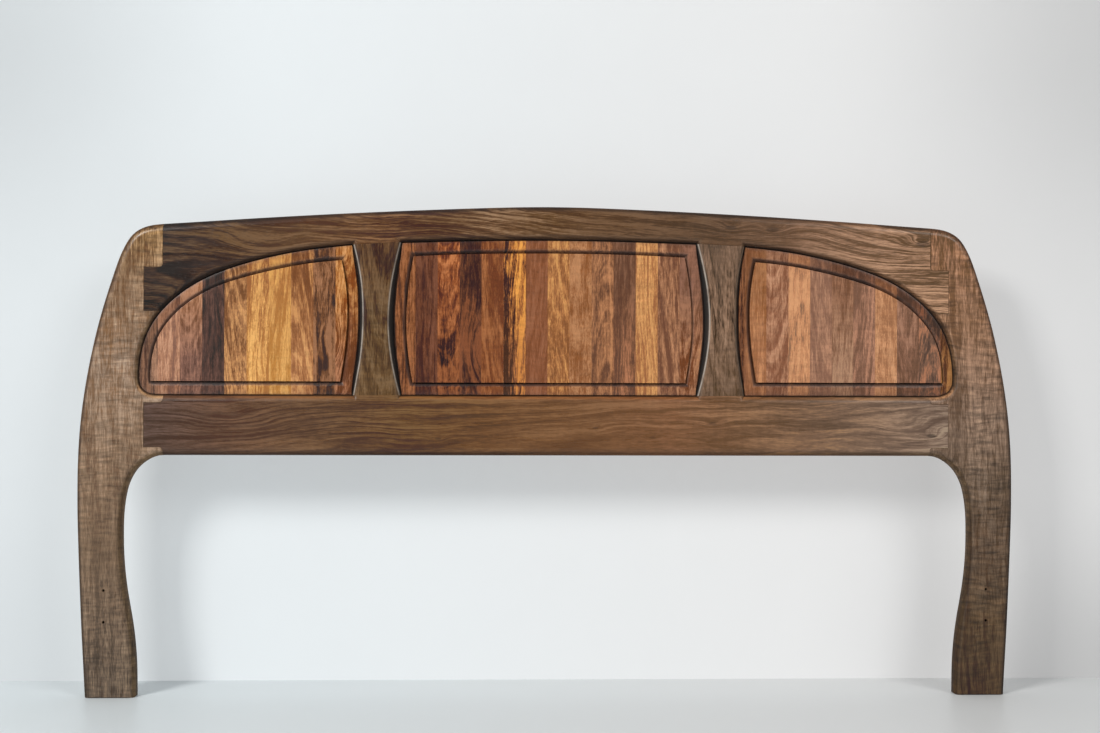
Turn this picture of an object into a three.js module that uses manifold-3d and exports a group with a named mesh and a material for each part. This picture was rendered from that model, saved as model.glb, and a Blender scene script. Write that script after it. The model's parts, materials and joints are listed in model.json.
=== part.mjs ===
// Bed headboard: a solid-wood frame with a crowned top rail, two shaped posts that run down as legs,
// two waisted dividers, and three raised panels that are each glued up from upright boards (staves).
// Frame: origin at the middle of the floor line under the board, +X along its length, -Y the front
// (the mattress side), +Z up. Millimetres.
import * as THREE from "three";
import { mergeVertices } from "three/addons/utils/BufferGeometryUtils.js";
import Module from "manifold-3d";

// ---------------------------------------------------------------- driving dimensions
const THICK = 44; // frame stock thickness
const OUTER_ROUND = 17; // round-over on the outer edges
const OPENING_ROUND = 17; // round-over round the panel openings
const GAP = 0.3; // clearance between touching pieces
const CURVE_TOL = 0.2; // how far a polyline may leave its curve

const LEG_BELOW = -30; // the outline runs on below the floor before the feet are cut off square
const FOOT_EASE = 3; // chamfer round the bottom of each foot

// Half outlines, as [distance from the middle, height].
const OUTER_SIDE = [
  [997.5, LEG_BELOW], [1001.6, 50], [1006.4, 140], [1010.3, 230], [1013.6, 320], [1015.6, 390],
  [1016.0, 445], [1015.4, 500], [1012.6, 560], [1006.9, 620], [998.2, 680], [986.8, 740],
  [973.1, 800], [956.2, 860], [937.0, 920], [926.4, 950], [918.2, 968], [909.6, 984],
  [900.2, 996.8], [890.0, 1005.4], [879.5, 1011.3], [868.5, 1015.3], [857.0, 1018.0], [845.0, 1019.6],
  [831.0, 1020.6],
];
const TOP_EDGE = [
  [831.0, 1020.6], [780, 1024.0], [715, 1028.5], [650, 1033.0], [585, 1037.1], [520, 1041.1],
  [455, 1044.8], [390, 1048.2], [325, 1051.4], [260, 1054.3], [195, 1057.0], [130, 1059.4],
  [65, 1061.3], [0, 1062.0],
];
const RAIL_UNDERSIDE = 521.4; // height of the bottom rail's lower edge
const LEG_INSIDE = [
  [826, 521.4], [836, 521.2], [847, 519.4], [858, 515.4], [868.5, 509.6], [878.5, 502.2],
  [887.3, 493.6], [895.0, 483.6], [901.8, 471.6], [907.4, 458.4], [911.6, 443.4], [915.0, 425.5],
  [917.7, 404], [919.2, 378], [919.5, 345], [918.7, 310], [916.0, 272], [911.7, 236],
  [906.0, 201], [900.0, 167], [895.0, 132], [891.6, 97], [889.6, 60], [889.0, 10], [889.0, LEG_BELOW],
];

// Panel openings.
const OPENING_BOTTOM = 651.8;
const SIDE_ARCH = [
  [426.6, 977.2], [465, 973.4], [505, 968.8], [545, 962.6], [585, 954.7], [625, 945.2],
  [662, 934.8], [697, 923.2], [728, 910.9], [757, 896.4], [785, 879.0], [811, 858.8],
  [833, 837.2], [851, 814.5], [865.4, 789], [875.4, 762], [881.4, 735], [884.3, 708],
  [884.6, 688],
];
const SIDE_CORNER = [[884.6, 688], [882.8, 674.4], [876.4, 663.4], [866.2, 655.8], [852, 652.2], [838, OPENING_BOTTOM]];
const DIVIDER_OUTER = [
  [426.7, OPENING_BOTTOM], [421.6, 688], [416.2, 724], [412.6, 760], [410.8, 795], [410.2, 830],
  [410.9, 865], [413.2, 898], [417.8, 932], [422.4, 957], [426.6, 977.2],
];
const DIVIDER_INNER = [
  [319.8, OPENING_BOTTOM], [325.6, 682], [332.6, 727], [337.2, 772], [338.6, 812], [337.2, 850],
  [333.8, 890], [329.4, 922], [324.8, 951], [319.4, 982.6],
];
const CENTER_TOP = [[319.4, 982.6], [270, 984.2], [222, 985.6], [165, 987.2], [105, 988.3], [50, 988.9], [0, 989.1]];

// Raised fields of the panels.
const SIDE_FIELD_BOTTOM = 681.4;
const CENTER_FIELD_BOTTOM = 679.6;
const SIDE_FIELD_ARCH = [
  [449.6, 943.6], [475, 941.4], [505, 938.2], [540, 933.0], [575, 926.2], [606, 919.3],
  [636, 911.8], [666, 903.5], [695, 894.4], [723, 883.4], [749, 870.2], [772, 856.0],
  [793.5, 838.9], [813, 819.9], [829.5, 799.5], [842, 778.5], [850.6, 756], [856.2, 731],
  [859.2, 706], [860.0, SIDE_FIELD_BOTTOM],
];
const SIDE_FIELD_INNER = [
  [452.3, SIDE_FIELD_BOTTOM], [445.4, 724], [440.3, 763], [437.4, 806], [437.2, 850],
  [439.6, 884], [443.8, 914], [449.6, 943.6],
];
const CENTER_FIELD_SIDE = [
  [296.0, CENTER_FIELD_BOTTOM], [303.0, 722], [308.0, 764], [309.6, 806], [308.4, 848],
  [305.0, 886], [300.3, 920], [294.0, 952.8],
];
const CENTER_FIELD_TOP = [[294.0, 952.8], [226, 956.2], [160, 958.3], [100, 959.5], [0, 960.3]];

// Panel section, front to back, measured from the middle of the frame's thickness.
const FIELD_Y = -15; // face of the raised field
const LEDGE_Y = -11; // the sunk border round it
const PANEL_BACK_Y = 10;
const TONGUE_Y = [-6, 4];
const TONGUE_OUT = 11.4; // how far the tongue reaches into the groove
const GROOVE_OUT = 12; // groove depth

// Glue lines between staves, along X.
const LEFT_GLUE = [-843.6, -796.0, -748.4, -701.0, -653.3, -605.6, -557.9, -510.1, -462.4];
const CENTER_GLUE = [-289.7, -242.2, -194.4, -147.2, -99.3, -51.5, -3.9, 43.6, 91.8, 139.2, 187.7, 235.8, 283.6];
const RIGHT_GLUE = [425.6, 473.4, 521.5, 569.4, 616.8, 664.2, 712.2, 760.5, 808.9, 857.0];

// Frame joints: the post laps over the rail ends with square-cut tabs.
const TOP_TAB_X = 831.6, TOP_TAB_Z = 926.4;
const RAIL_END_X = 871.8;
const TOP_RAIL_END_Z = 832.6;
const LOW_TAB_X = 831.6;
const LOW_TONGUE_Z = [539.8, 634.8];
const TAB_ROUND = 7;

// Loose tenons, hidden in mortises: length, width, thickness.
const POST_TENON = [72, 46, 12];
const LOW_TENON = [76, 62, 12];
const DIVIDER_TENON = [76, 50, 12];

// Pilot holes for the bed-rail brackets.
const HOLE_X = 956.3, HOLE_Z = [163, 231], HOLE_R = 2.5, HOLE_DEPTH = 30;

// ---------------------------------------------------------------- curves and outlines
function thin(points, tol) {
  // Ramer-Douglas-Peucker
  if (points.length < 3) return points;
  const a = points[0], b = points[points.length - 1];
  const dx = b.x - a.x, dy = b.y - a.y, len = Math.hypot(dx, dy) || 1;
  let worst = 0, at = 0;
  for (let i = 1; i < points.length - 1; i++) {
    const d = Math.abs((points[i].x - a.x) * dy - (points[i].y - a.y) * dx) / len;
    if (d > worst) { worst = d; at = i; }
  }
  if (worst <= tol) return [a, b];
  return thin(points.slice(0, at + 1), tol).slice(0, -1).concat(thin(points.slice(at), tol));
}

// A smooth curve through the given points, as a polyline within CURVE_TOL of it.
function smooth(list, tol = CURVE_TOL) {
  const curve = new THREE.SplineCurve(list.map(([x, y]) => new THREE.Vector2(x, y)));
  return thin(curve.getPoints(list.length * 24), tol);
}

const mirror = (pts) => pts.map((p) => new THREE.Vector2(-p.x, p.y)).reverse();
function join(...runs) {
  const out = [];
  for (const run of runs)
    for (const p of run)
      if (!out.length || Math.hypot(out[out.length - 1].x - p.x, out[out.length - 1].y - p.y) > 0.02) out.push(p.clone());
  const a = out[0], b = out[out.length - 1];
  if (Math.hypot(a.x - b.x, a.y - b.y) < 0.02) out.pop();
  return THREE.ShapeUtils.isClockWise(out) ? out.reverse() : out;
}

// A closed outline moved outwards by d along its mitred corners.
function grow(outline, d) {
  const n = outline.length;
  return outline.map((p, i) => {
    const q = outline[(i + n - 1) % n], r = outline[(i + 1) % n];
    const n1 = new THREE.Vector2(p.y - q.y, q.x - p.x).normalize();
    const n2 = new THREE.Vector2(r.y - p.y, p.x - r.x).normalize();
    const m = n1.clone().add(n2).normalize();
    return p.clone().addScaledVector(m, d / Math.max(0.35, m.dot(n1)));
  });
}

// ---------------------------------------------------------------- solids
const wasm = await Module();
wasm.setup();

function solid(geometry) {
  const g = geometry.clone();
  g.deleteAttribute("normal");
  g.deleteAttribute("uv");
  const m = mergeVertices(g, 1e-4);
  return new wasm.Manifold(new wasm.Mesh({
    numProp: 3,
    vertProperties: m.attributes.position.array,
    triVerts: new Uint32Array(m.index.array),
  }));
}

// An outline in the XZ plane given thickness from y0 to y1, with an optional quarter-round on both faces.
function slab(outline, y0, y1, { holes = [], round = 0, steps = 4 } = {}) {
  const shape = new THREE.Shape(outline);
  for (const h of holes) shape.holes.push(new THREE.Path(h.slice().reverse()));
  const g = new THREE.ExtrudeGeometry(shape, {
    depth: y1 - y0 - 2 * round,
    bevelEnabled: round > 0,
    bevelThickness: round,
    bevelSize: round,
    bevelOffset: -round,
    bevelSegments: steps,
    curveSegments: 8,
  });
  g.translate(0, 0, y0 + round);
  g.rotateX(Math.PI / 2); // outline height becomes Z, extrusion becomes -Y
  g.scale(1, -1, 1); // extrusion becomes +Y; the mirror is undone by turning each face round
  const p = g.attributes.position.array;
  for (let i = 0; i < p.length; i += 9)
    for (let k = 0; k < 3; k++) [p[i + 3 + k], p[i + 6 + k]] = [p[i + 6 + k], p[i + 3 + k]];
  return solid(g);
}

function box(x0, x1, y0, y1, z0, z1) {
  return solid(new THREE.BoxGeometry(x1 - x0, y1 - y0, z1 - z0).translate((x0 + x1) / 2, (y0 + y1) / 2, (z0 + z1) / 2));
}

// A loose tenon: a flat stick with round edges, its length along X or Z.
function tenon([length, width, thick], x, z, alongX, extra = 0) {
  const w = width + 2 * extra, t = thick + 2 * extra, r = t / 2;
  const s = new THREE.Shape();
  s.moveTo(-w / 2 + r, -r);
  s.lineTo(w / 2 - r, -r);
  s.absarc(w / 2 - r, 0, r, -Math.PI / 2, Math.PI / 2, false);
  s.lineTo(-w / 2 + r, r);
  s.absarc(-w / 2 + r, 0, r, Math.PI / 2, Math.PI * 1.5, false);
  const g = new THREE.ExtrudeGeometry(s, { depth: length + 2 * extra, bevelEnabled: false, curveSegments: 4 });
  g.translate(0, 0, -length / 2 - extra);
  if (alongX) g.rotateX(-Math.PI / 2).rotateZ(-Math.PI / 2).rotateX(Math.PI / 2);
  g.translate(x, 0, z);
  return solid(g);
}

// ---------------------------------------------------------------- outlines
const side = smooth(OUTER_SIDE), top = smooth(TOP_EDGE), legIn = smooth(LEG_INSIDE);
const rightHalf = [...side, ...top.slice(1)];
const OUTLINE = join(
  rightHalf,
  mirror(rightHalf),
  mirror(legIn),
  legIn,
);

const sideOpening = join(
  smooth(SIDE_ARCH),
  smooth(SIDE_CORNER, 0.1),
  [new THREE.Vector2(DIVIDER_OUTER[0][0], OPENING_BOTTOM)],
  smooth(DIVIDER_OUTER),
);
const centerHalf = [...smooth(DIVIDER_INNER), ...smooth(CENTER_TOP).slice(1)];
const centerOpening = join(centerHalf, mirror(centerHalf));
const leftOpening = join(mirror(sideOpening));

const sideField = join(smooth(SIDE_FIELD_ARCH), smooth(SIDE_FIELD_INNER));
const leftField = join(mirror(sideField));
const centerFieldHalf = [...smooth(CENTER_FIELD_SIDE), ...smooth(CENTER_FIELD_TOP).slice(1)];
const centerField = join(centerFieldHalf, mirror(centerFieldHalf));

// ---------------------------------------------------------------- frame, before it is cut into its pieces
const H = THICK / 2;
const around = [[-1200, -200], [1200, -200], [1200, 1300], [-1200, 1300]].map(([x, y]) => new THREE.Vector2(x, y));
const openings = [leftOpening, centerOpening, sideOpening];

let frame = slab(OUTLINE, -H, H, { round: OUTER_ROUND });
frame = frame.intersect(slab(around, -H, H, { holes: openings, round: OPENING_ROUND }));
frame = frame.subtract(box(-1200, 1200, -60, 60, -200, 0));
for (const o of openings) frame = frame.subtract(slab(grow(o, GROOVE_OUT), TONGUE_Y[0] - GAP, TONGUE_Y[1] + GAP));

// eased bottom edges of the feet
for (const s of [-1, 1]) {
  const cx = s * 944.5, e = FOOT_EASE;
  const wedge = (turn) => {
    const sh = new THREE.Shape([[0, 0], [-e, -e], [2 * e, -e], [2 * e, 2 * e]].map(([x, y]) => new THREE.Vector2(x, y)));
    const g = new THREE.ExtrudeGeometry(sh, { depth: 300, bevelEnabled: false });
    g.translate(0, 0, -150).rotateX(Math.PI / 2); // cutting edge at 45 degrees, removing what lies outside it
    return g.rotateZ(turn);
  };
  const half = [999.2 - 944.5, 944.5 - 889.0];
  const out = s > 0 ? half[0] : half[1], inn = s > 0 ? half[1] : half[0];
  for (const [turn, dx, dy] of [[0, out - e, 0], [Math.PI, -(inn - e), 0], [Math.PI / 2, 0, H - e], [-Math.PI / 2, 0, -(H - e)]]) {
    const g = wedge(turn).translate(cx + dx, dy, 0);
    frame = frame.subtract(solid(g).intersect(box(cx - 90, cx + 90, -60, 60, -20, 30)));
  }
}

// pilot holes in the front of each leg
for (const s of [-1, 1])
  for (const z of HOLE_Z) {
    const g = new THREE.CylinderGeometry(HOLE_R, HOLE_R, HOLE_DEPTH + 5, 14);
    g.translate(s * HOLE_X, -H - 5 + (HOLE_DEPTH + 5) / 2, z);
    frame = frame.subtract(solid(g));
  }

// loose tenons and their mortises
const tenons = {};
for (const [s, n] of [[-1, "left"], [1, "right"]]) {
  const put = (name, size, x, z, alongX) => {
    tenons[name] = tenon(size, x, z, alongX);
    frame = frame.subtract(tenon(size, x, z, alongX, GAP));
  };
  put(n + "_upper_tenon", POST_TENON, s * 874, 885, true);
  put(n + "_lower_tenon", LOW_TENON, s * RAIL_END_X, 588, true);
  put(n + "_divider_top_tenon", DIVIDER_TENON, s * 373, 980, false);
  put(n + "_divider_bottom_tenon", DIVIDER_TENON, s * 373, OPENING_BOTTOM, false);
}

// Saw kerfs along the joint lines: an open polyline given the gap's width.
function kerf(points) {
  const n = points.length, left = [], right = [];
  for (let i = 0; i < n; i++) {
    const a = points[Math.max(0, i - 1)], b = points[i], c = points[Math.min(n - 1, i + 1)];
    const n1 = new THREE.Vector2(a.y - b.y, b.x - a.x), n2 = new THREE.Vector2(b.y - c.y, c.x - b.x);
    if (n1.length() < 1e-9) n1.copy(n2);
    if (n2.length() < 1e-9) n2.copy(n1);
    n1.normalize(); n2.normalize();
    const m = n1.clone().add(n2).normalize(), k = GAP / 2 / m.dot(n1);
    left.push(b.clone().addScaledVector(m, k));
    right.push(b.clone().addScaledVector(m, -k));
  }
  return slab(join(left, right.reverse()), -H - 5, H + 5);
}
const V = (x, z) => new THREE.Vector2(x, z);
function corner(cx, cz, r, a0, a1, steps = 5) {
  const out = [];
  for (let i = 0; i <= steps; i++) {
    const a = ((a0 + ((a1 - a0) * i) / steps) * Math.PI) / 180;
    out.push(V(cx + r * Math.cos(a), cz + r * Math.sin(a)));
  }
  return out;
}
const TR = TAB_ROUND;
const joints = [
  [V(TOP_TAB_X, 1060), ...corner(TOP_TAB_X + TR, TOP_TAB_Z + TR, TR, 180, 270), V(RAIL_END_X, TOP_TAB_Z), V(RAIL_END_X, TOP_RAIL_END_Z), V(800, TOP_RAIL_END_Z)],
  [V(LOW_TAB_X, 680), ...corner(LOW_TAB_X + TR, LOW_TONGUE_Z[1] + TR, TR, 180, 270), V(RAIL_END_X, LOW_TONGUE_Z[1]),
    V(RAIL_END_X, LOW_TONGUE_Z[0]), ...corner(LOW_TAB_X + TR, LOW_TONGUE_Z[0] - TR, TR, 90, 180), V(LOW_TAB_X, 480)],
  [V(314, 982.9), V(319.4, 982.6), V(426.6, 977.2), V(432, 976.9)],
  [V(314, OPENING_BOTTOM), V(432, OPENING_BOTTOM)],
];
for (const line of joints) {
  frame = frame.subtract(kerf(line));
  frame = frame.subtract(kerf(line.map((p) => V(-p.x, p.y))));
}

const pieces = {};
for (const body of frame.decompose()) {
  const b = body.boundingBox(), cx = (b.min[0] + b.max[0]) / 2, w = b.max[0] - b.min[0], cz = (b.min[2] + b.max[2]) / 2;
  if (body.volume() < 500) continue;
  const name = w > 1000 ? (cz > 800 ? "top_rail" : "bottom_rail")
    : (cx < 0 ? "left_" : "right_") + (Math.abs(cx) > 600 ? "post" : "divider");
  if (pieces[name]) throw new Error("two pieces answer to " + name);
  pieces[name] = body;
}

// ---------------------------------------------------------------- panels, cut into staves
function panel(opening, field, y = [FIELD_Y, LEDGE_Y, PANEL_BACK_Y]) {
  return slab(field, y[0], y[2] - 0.5)
    .add(slab(grow(opening, -GAP), y[1], y[2]))
    .add(slab(grow(opening, TONGUE_OUT), TONGUE_Y[0], TONGUE_Y[1]));
}
const staves = [];
function rip(name, whole, glue, x0, x1) {
  const cuts = [x0, ...glue, x1];
  for (let i = 0; i + 1 < cuts.length; i++) {
    const body = whole.intersect(box(cuts[i] + GAP / 2, cuts[i + 1] - GAP / 2, -60, 60, 500, 1100));
    staves.push([name + "_stave_" + String(i + 1).padStart(2, "0"), body]);
  }
}
rip("left_panel", panel(leftOpening, leftField), LEFT_GLUE, -920, -390);
rip("center_panel", panel(centerOpening, centerField), CENTER_GLUE, -370, 370);
rip("right_panel", panel(sideOpening, sideField), RIGHT_GLUE, 390, 920);

// ---------------------------------------------------------------- scene graph
const wood = (color, roughness = 0.42) => new THREE.MeshStandardMaterial({ color, roughness, metalness: 0 });
const FRAME_WOOD = {
  left_post: wood("#876c52"), right_post: wood("#735846"), top_rail: wood("#5a4634"),
  bottom_rail: wood("#5c463c"), left_divider: wood("#5a4832"), right_divider: wood("#5c4a36"),
};
const STAVE_WOOD = {
  left_panel: ["#a4745a", "#9a6c4e", "#a8683c", "#4c3a36", "#a87038", "#d09444", "#d69a48", "#b06a34", "#503224", "#b87236"],
  center_panel: ["#b06c3c", "#6a4430", "#b0683a", "#a25c34", "#a0603a", "#b87840", "#7e4a36", "#b88046", "#b47c46", "#8a5a3a", "#543632", "#a87040", "#8a5c3e", "#a86c40"],
  right_panel: ["#8a5638", "#a86a44", "#96644a", "#8c5c42", "#b07840", "#523830", "#5e4034", "#9a6038", "#b08048", "#5a3c2c", "#b47a3a"],
};
const TENON_WOOD = wood("#c9a877", 0.7);

const headboard = new THREE.Group();
function addMesh(parent, name, body, material) {
  const m = body.getMesh(), n = m.numProp, v = new Float32Array(m.numVert * 3);
  for (let i = 0; i < m.numVert; i++) v.set(m.vertProperties.subarray(i * n, i * n + 3), i * 3);
  const g = new THREE.BufferGeometry();
  g.setAttribute("position", new THREE.BufferAttribute(v, 3));
  g.setIndex(new THREE.BufferAttribute(m.triVerts, 1));
  g.computeVertexNormals();
  const mesh = new THREE.Mesh(g, material);
  mesh.name = name;
  parent.add(mesh);
}
const frameGroup = new THREE.Group(), tenonGroup = new THREE.Group();
for (const name of ["left_post", "right_post", "top_rail", "bottom_rail", "left_divider", "right_divider"])
  addMesh(frameGroup, name, pieces[name], FRAME_WOOD[name]);
for (const [name, body] of Object.entries(tenons)) addMesh(tenonGroup, name, body, TENON_WOOD);
headboard.add(frameGroup, tenonGroup);
for (const key of ["left_panel", "center_panel", "right_panel"]) {
  const group = new THREE.Group();
  staves.filter(([name]) => name.startsWith(key)).forEach(([name, body], i) => addMesh(group, name, body, wood(STAVE_WOOD[key][i], 0.38)));
  headboard.add(group);
}

export default headboard;
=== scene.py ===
import json
import math

import bmesh
import bpy
import numpy as np
from mathutils import Matrix, Vector


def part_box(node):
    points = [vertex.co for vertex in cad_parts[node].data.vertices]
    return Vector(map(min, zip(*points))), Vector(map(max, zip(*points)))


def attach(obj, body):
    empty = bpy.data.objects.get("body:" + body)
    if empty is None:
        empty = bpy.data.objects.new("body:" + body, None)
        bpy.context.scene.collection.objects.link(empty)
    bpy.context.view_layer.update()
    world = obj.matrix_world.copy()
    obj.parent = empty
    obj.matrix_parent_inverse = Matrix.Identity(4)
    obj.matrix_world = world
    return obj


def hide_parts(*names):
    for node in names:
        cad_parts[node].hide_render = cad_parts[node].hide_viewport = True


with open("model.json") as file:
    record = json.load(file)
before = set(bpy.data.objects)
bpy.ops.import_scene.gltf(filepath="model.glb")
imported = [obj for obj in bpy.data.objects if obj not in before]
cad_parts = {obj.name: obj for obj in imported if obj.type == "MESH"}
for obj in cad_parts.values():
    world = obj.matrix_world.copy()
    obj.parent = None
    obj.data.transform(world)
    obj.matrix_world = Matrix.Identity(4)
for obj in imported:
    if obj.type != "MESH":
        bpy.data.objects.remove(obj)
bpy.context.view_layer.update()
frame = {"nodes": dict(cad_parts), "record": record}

MM = 0.001
H = 22.0  # half the frame stock's thickness, mm

# The design's outlines, in mm, as [distance from the middle, height]; the same control points as the CAD part.
LEG_BELOW = -30.0
OUTER_SIDE = [
    (997.5, LEG_BELOW), (1001.6, 50), (1006.4, 140), (1010.3, 230), (1013.6, 320), (1015.6, 390),
    (1016.0, 445), (1015.4, 500), (1012.6, 560), (1006.9, 620), (998.2, 680), (986.8, 740),
    (973.1, 800), (956.2, 860), (937.0, 920), (926.4, 950), (918.2, 968), (909.6, 984),
    (900.2, 996.8), (890.0, 1005.4), (879.5, 1011.3), (868.5, 1015.3), (857.0, 1018.0), (845.0, 1019.6),
    (831.0, 1020.6)]
TOP_EDGE = [
    (831.0, 1020.6), (780, 1024.0), (715, 1028.5), (650, 1033.0), (585, 1037.1), (520, 1041.1),
    (455, 1044.8), (390, 1048.2), (325, 1051.4), (260, 1054.3), (195, 1057.0), (130, 1059.4),
    (65, 1061.3), (0, 1062.0)]
LEG_INSIDE = [
    (826, 521.4), (836, 521.2), (847, 519.4), (858, 515.4), (868.5, 509.6), (878.5, 502.2),
    (887.3, 493.6), (895.0, 483.6), (901.8, 471.6), (907.4, 458.4), (911.6, 443.4), (915.0, 425.5),
    (917.7, 404), (919.2, 378), (919.5, 345), (918.7, 310), (916.0, 272), (911.7, 236),
    (906.0, 201), (900.0, 167), (895.0, 132), (891.6, 97), (889.6, 60), (889.0, 10), (889.0, LEG_BELOW)]
OPENING_BOTTOM = 651.8
SIDE_ARCH = [
    (426.6, 977.2), (465, 973.4), (505, 968.8), (545, 962.6), (585, 954.7), (625, 945.2),
    (662, 934.8), (697, 923.2), (728, 910.9), (757, 896.4), (785, 879.0), (811, 858.8),
    (833, 837.2), (851, 814.5), (865.4, 789), (875.4, 762), (881.4, 735), (884.3, 708),
    (884.6, 688)]
SIDE_CORNER = [(884.6, 688), (882.8, 674.4), (876.4, 663.4), (866.2, 655.8), (852, 652.2), (838, OPENING_BOTTOM)]
DIVIDER_OUTER = [
    (426.7, OPENING_BOTTOM), (421.6, 688), (416.2, 724), (412.6, 760), (410.8, 795), (410.2, 830),
    (410.9, 865), (413.2, 898), (417.8, 932), (422.4, 957), (426.6, 977.2)]
DIVIDER_INNER = [
    (319.8, OPENING_BOTTOM), (325.6, 682), (332.6, 727), (337.2, 772), (338.6, 812), (337.2, 850),
    (333.8, 890), (329.4, 922), (324.8, 951), (319.4, 982.6)]
CENTER_TOP = [(319.4, 982.6), (270, 984.2), (222, 985.6), (165, 987.2), (105, 988.3), (50, 988.9), (0, 989.1)]
SIDE_FIELD_BOTTOM = 681.4
CENTER_FIELD_BOTTOM = 679.6
SIDE_FIELD_ARCH = [
    (449.6, 943.6), (475, 941.4), (505, 938.2), (540, 933.0), (575, 926.2), (606, 919.3),
    (636, 911.8), (666, 903.5), (695, 894.4), (723, 883.4), (749, 870.2), (772, 856.0),
    (793.5, 838.9), (813, 819.9), (829.5, 799.5), (842, 778.5), (850.6, 756), (856.2, 731),
    (859.2, 706), (860.0, SIDE_FIELD_BOTTOM)]
SIDE_FIELD_INNER = [
    (452.3, SIDE_FIELD_BOTTOM), (445.4, 724), (440.3, 763), (437.4, 806), (437.2, 850),
    (439.6, 884), (443.8, 914), (449.6, 943.6)]
CENTER_FIELD_SIDE = [
    (296.0, CENTER_FIELD_BOTTOM), (303.0, 722), (308.0, 764), (309.6, 806), (308.4, 848),
    (305.0, 886), (300.3, 920), (294.0, 952.8)]
CENTER_FIELD_TOP = [(294.0, 952.8), (226, 956.2), (160, 958.3), (100, 959.5), (0, 960.3)]

OUTER_ROUND = 17.0
OPENING_ROUND = 15.5
TOP_TAB_X, TOP_TAB_Z = 831.6, 926.4
RAIL_END_X, TOP_RAIL_END_Z = 871.8, 832.6
LOW_TAB_X, LOW_TONGUE_Z = 831.6, (539.8, 634.8)
TAB_ROUND = 7.0
HOLE_X, HOLE_Z, HOLE_R, HOLE_DEPTH = 956.3, (163.0, 231.0), 2.5, 30.0

FIELD_Y, LEDGE_IN_Y, LEDGE_OUT_Y, PANEL_BACK_Y = -15.0, -8.4, -13.0, 10.0
TONGUE_Y, TONGUE_OUT, GROOVE_OUT = (-6.0, 4.0), 11.4, 12.0
SLIT = 0.05  # how far each glued face stands back from the joint line


# ------------------------------------------------------------------ curves and outlines
def spline(points, per=20):
    P = np.array(points, float)
    n = len(P)
    out = []
    for i in range(n - 1):
        p0, p1, p2, p3 = P[max(i - 1, 0)], P[i], P[i + 1], P[min(i + 2, n - 1)]
        v0, v1 = (p2 - p0) * 0.5, (p3 - p1) * 0.5
        t = (np.arange(per) / per)[:, None]
        out.append((2 * p1 - 2 * p2 + v0 + v1) * t ** 3 + (-3 * p1 + 3 * p2 - 2 * v0 - v1) * t ** 2 + v0 * t + p1)
    out.append(P[-1:])
    return np.concatenate(out)


def arc_length(poly):
    return np.concatenate([[0], np.cumsum(np.linalg.norm(np.diff(poly, axis=0), axis=1))])


def resample(poly, n):
    s = arc_length(poly)
    u = np.linspace(0, s[-1], n)
    return np.stack([np.interp(u, s, poly[:, 0]), np.interp(u, s, poly[:, 1])], 1)


def fair(poly, sigma=9.0, step=2.0):
    """The curve resampled evenly and smoothed a little along its length, with its ends kept."""
    n = max(8, int(arc_length(poly)[-1] / step))
    p = resample(poly, n)
    w = int(3 * sigma / step)
    if n < 3 * w:
        w = max(1, n // 4)
    k = np.exp(-0.5 * (np.arange(-w, w + 1) * step / sigma) ** 2)
    k /= k.sum()
    pad = np.concatenate([2 * p[0] - p[w:0:-1], p, 2 * p[-1] - p[-2:-w - 2:-1]])
    q = np.stack([np.convolve(pad[:, i], k, "valid") for i in range(2)], 1)
    q[0], q[-1] = p[0], p[-1]
    return q


def thin(poly, tol=0.02, longest=30.0):
    keep = np.zeros(len(poly), bool)
    keep[0] = keep[-1] = True
    stack = [(0, len(poly) - 1)]
    while stack:
        a, b = stack.pop()
        if b - a < 2:
            continue
        d = poly[b] - poly[a]
        length = np.hypot(*d)
        m = poly[a + 1:b] - poly[a]
        dist = np.abs(m[:, 0] * d[1] - m[:, 1] * d[0]) / max(length, 1e-9)
        i = int(dist.argmax())
        if dist[i] > tol or length > longest:
            at = a + 1 + (i if dist[i] > tol else (b - a) // 2 - 1)
            keep[at] = True
            stack += [(a, at), (at, b)]
    return poly[keep]


def curve(points, tol=0.02, longest=30.0, sigma=9.0):
    return thin(fair(spline(points), sigma), tol, longest)


def mirror(p):
    return np.stack([-p[::-1, 0], p[::-1, 1]], 1)


def join(*runs):
    out = []
    for run in runs:
        for p in run:
            if not out or np.hypot(*(out[-1] - p)) > 0.02:
                out.append(np.array(p, float))
    if np.hypot(*(out[0] - out[-1])) < 0.02:
        out.pop()
    out = np.array(out)
    return out if area(out) > 0 else out[::-1]


def area(p):
    x, y = p[:, 0], p[:, 1]
    return 0.5 * float((x * np.roll(y, -1) - y * np.roll(x, -1)).sum())


def grow(p, d):
    """A counter-clockwise outline moved outwards by d (a number, or one for each point) along mitred corners."""
    q, r = np.roll(p, 1, 0), np.roll(p, -1, 0)
    n1 = np.stack([p[:, 1] - q[:, 1], q[:, 0] - p[:, 0]], 1)
    n2 = np.stack([r[:, 1] - p[:, 1], p[:, 0] - r[:, 0]], 1)
    n1 /= np.linalg.norm(n1, axis=1)[:, None]
    n2 /= np.linalg.norm(n2, axis=1)[:, None]
    m = n1 + n2
    m /= np.linalg.norm(m, axis=1)[:, None]
    k = np.maximum(0.35, (m * n1).sum(1))
    return p + m * (np.broadcast_to(d, len(p)) / k)[:, None]


# ------------------------------------------------------------------ meshes
def new_object(name, verts, faces):
    me = bpy.data.meshes.new(name)
    me.from_pydata([tuple(v) for v in verts], [], faces)
    me.update()
    ob = bpy.data.objects.new(name, me)
    bpy.context.scene.collection.objects.link(ob)
    return ob


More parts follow.
